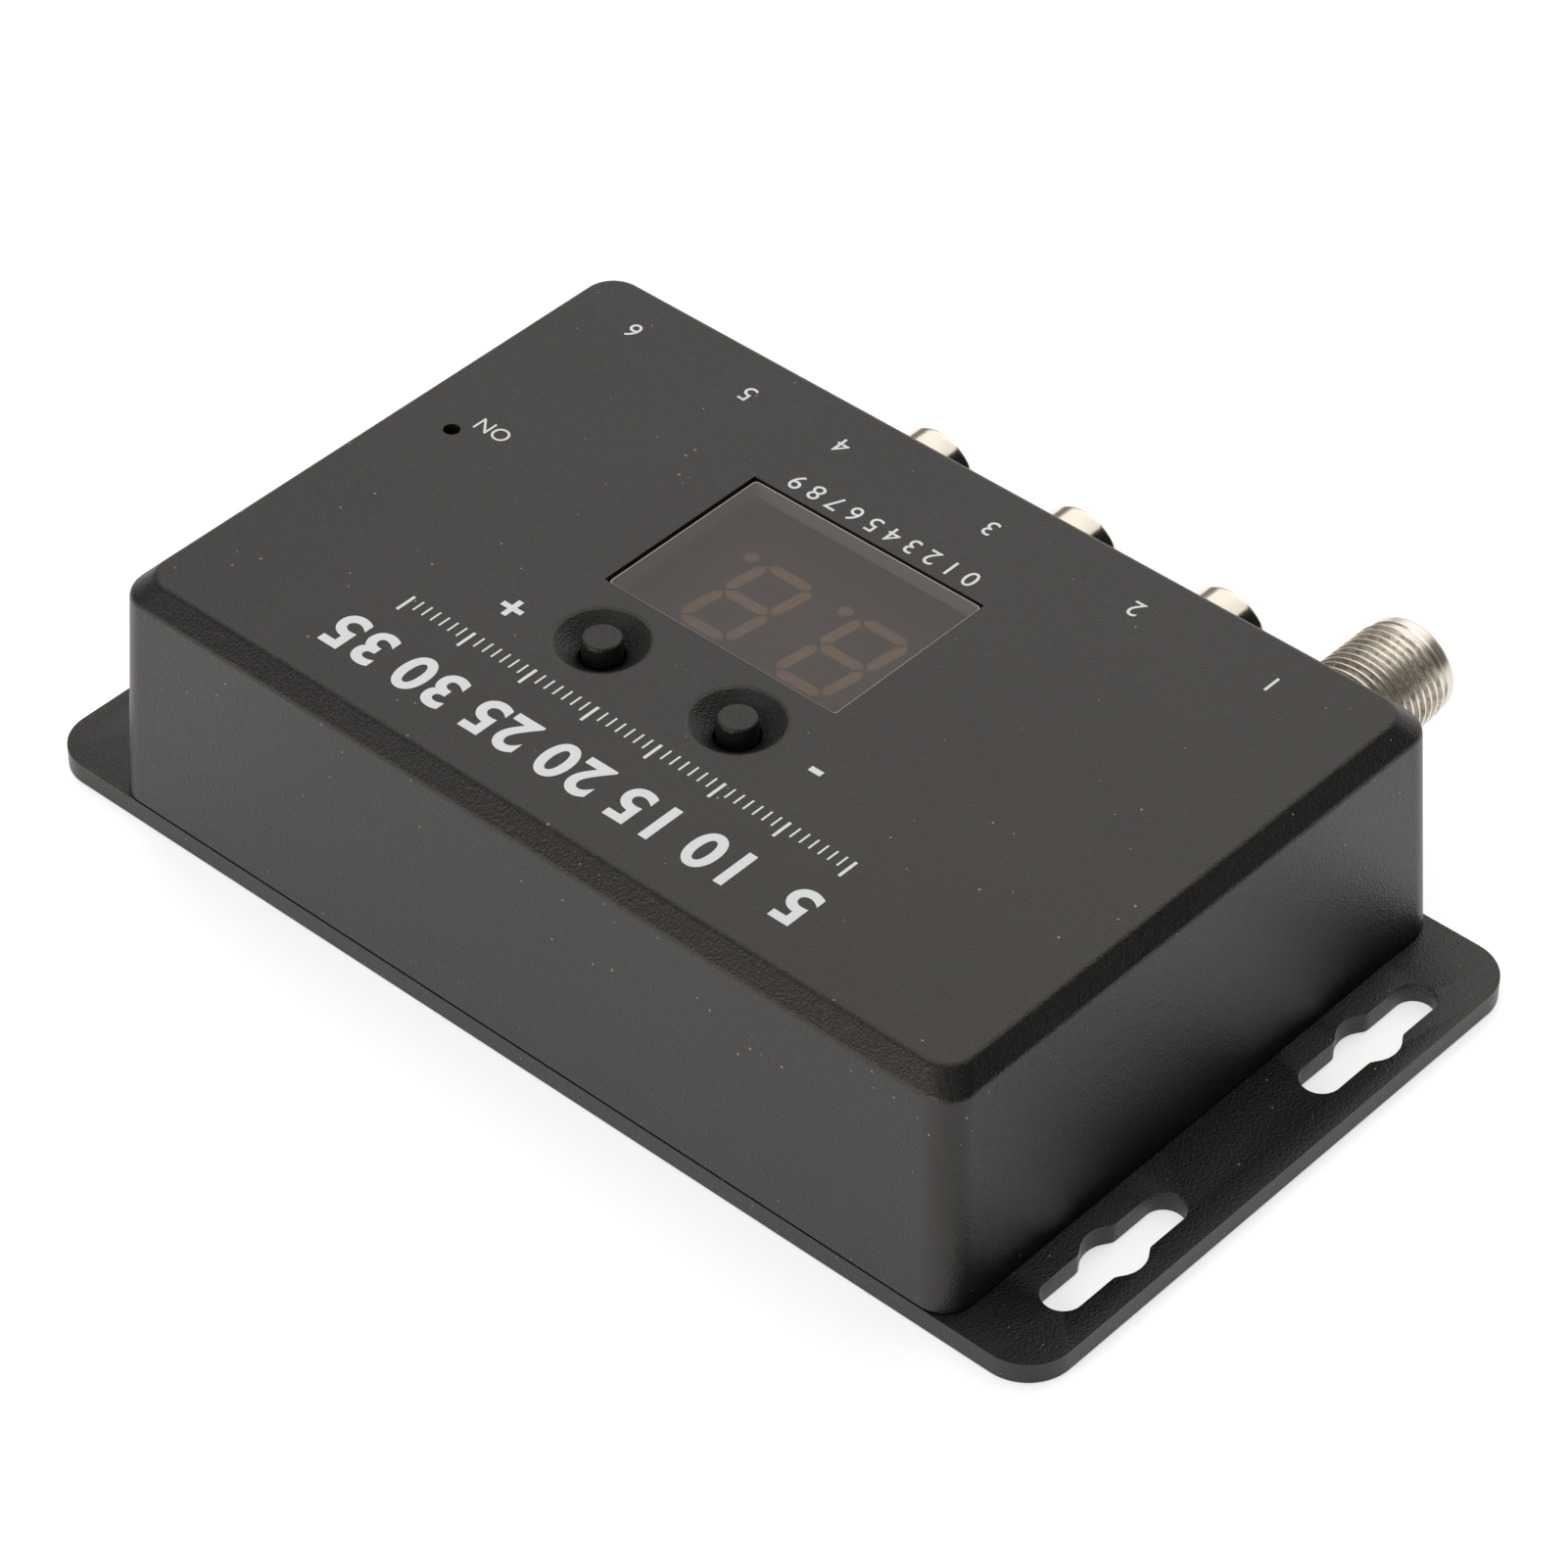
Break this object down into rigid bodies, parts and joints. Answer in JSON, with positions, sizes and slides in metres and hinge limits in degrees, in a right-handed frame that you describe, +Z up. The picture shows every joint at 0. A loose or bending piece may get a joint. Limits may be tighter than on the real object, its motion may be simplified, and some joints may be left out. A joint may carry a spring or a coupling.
{
  "type": "rf modulator",
  "caption": "Flat flanged case with phono inputs, a threaded aerial output, a channel display and press buttons, for putting video and sound on a television's aerial line.",
  "frame": {"origin": "middle of the mounting plate's underside, where it rests on the surface it is fixed to", "axes": "+Z up out of the roof, +X along the case from the aerial output towards the power inlet, +Y towards the plain rear wall; the connectors stand out of the -Y wall"},
  "size_m": [0.11, 0.074, 0.0254],
  "materials": {
    "case_black": "matte, fine spark-eroded texture",
    "plate_black": "matte",
    "smoked_window": "polished smoked acrylic",
    "button_black": "matte",
    "moulding_black": "semi-gloss",
    "display_black": "matte",
    "light_pipe": "milky resin, unlit",
    "nickel_plate": "polished warm nickel",
    "tinned_metal": "tinned",
    "gold_contact": "flash gold",
    "insert_yellow": "semi-gloss",
    "insert_white": "semi-gloss",
    "insert_red": "semi-gloss",
    "insulator_white": "waxy",
    "board_green": "solder-resist lacquer",
    "chip_black": "matte",
    "black_screw": "black zinc",
    "plain_screw": "zinc",
    "capacitor_sleeve": "shrunk sleeve",
    "led_clear": "clear resin",
    "spacer_white": "matte"
  },
  "bodies": {
    "case": {"top_shell": "case_black", "base_plate": "plate_black", "case_screws": "black_screw", "display_window": "smoked_window", "display_module": "display_black", "display_segments": "light_pipe", "display_pins": "tinned_metal", "display_board": "board_green", "header_strips": "moulding_black", "header_pins": "gold_contact", "switch_housings": "moulding_black", "switch_covers": "tinned_metal", "switch_domes": "tinned_metal", "switch_legs": "tinned_metal", "main_board": "board_green", "board_screws": "plain_screw", "video_socket_block": "moulding_black", "video_socket_shell": "nickel_plate", "video_socket_insert": "insert_yellow", "video_socket_contact": "gold_contact", "left_socket_block": "moulding_black", "left_socket_shell": "nickel_plate", "left_socket_insert": "insert_white", "left_socket_contact": "gold_contact", "right_socket_block": "moulding_black", "right_socket_shell": "nickel_plate", "right_socket_insert": "insert_red", "right_socket_contact": "gold_contact", "aerial_socket_body": "nickel_plate", "aerial_socket_insulator": "insulator_white", "aerial_socket_contact": "gold_contact", "repeater_jack_body": "moulding_black", "repeater_jack_contacts": "tinned_metal", "power_inlet_shell": "tinned_metal", "power_inlet_tongue": "moulding_black", "power_inlet_contacts": "gold_contact", "power_led": "led_clear", "led_legs": "tinned_metal", "led_spacer": "spacer_white", "shield_frame": "tinned_metal", "shield_lid": "tinned_metal", "modulator_chip": "chip_black", "controller_chip": "chip_black", "chip_legs": "tinned_metal", "voltage_regulator": "chip_black", "crystal_can": "tinned_metal", "filter_capacitors": "capacitor_sleeve", "filter_coils": "chip_black", "chip_resistors": "chip_black"},
    "up_button": {"channel_up_button": "button_black"},
    "down_button": {"channel_down_button": "button_black"}
  },
  "joints": [
    {"name": "channel_up_press", "type": "slide", "parent": "case", "child": "up_button", "axis": [0, 0, -1], "range_m": [0, 0.00025], "stiffness_N_per_m": 6000},
    {"name": "channel_down_press", "type": "slide", "parent": "case", "child": "down_button", "axis": [0, 0, -1], "range_m": [0, 0.00025], "stiffness_N_per_m": 6000}
  ]
}
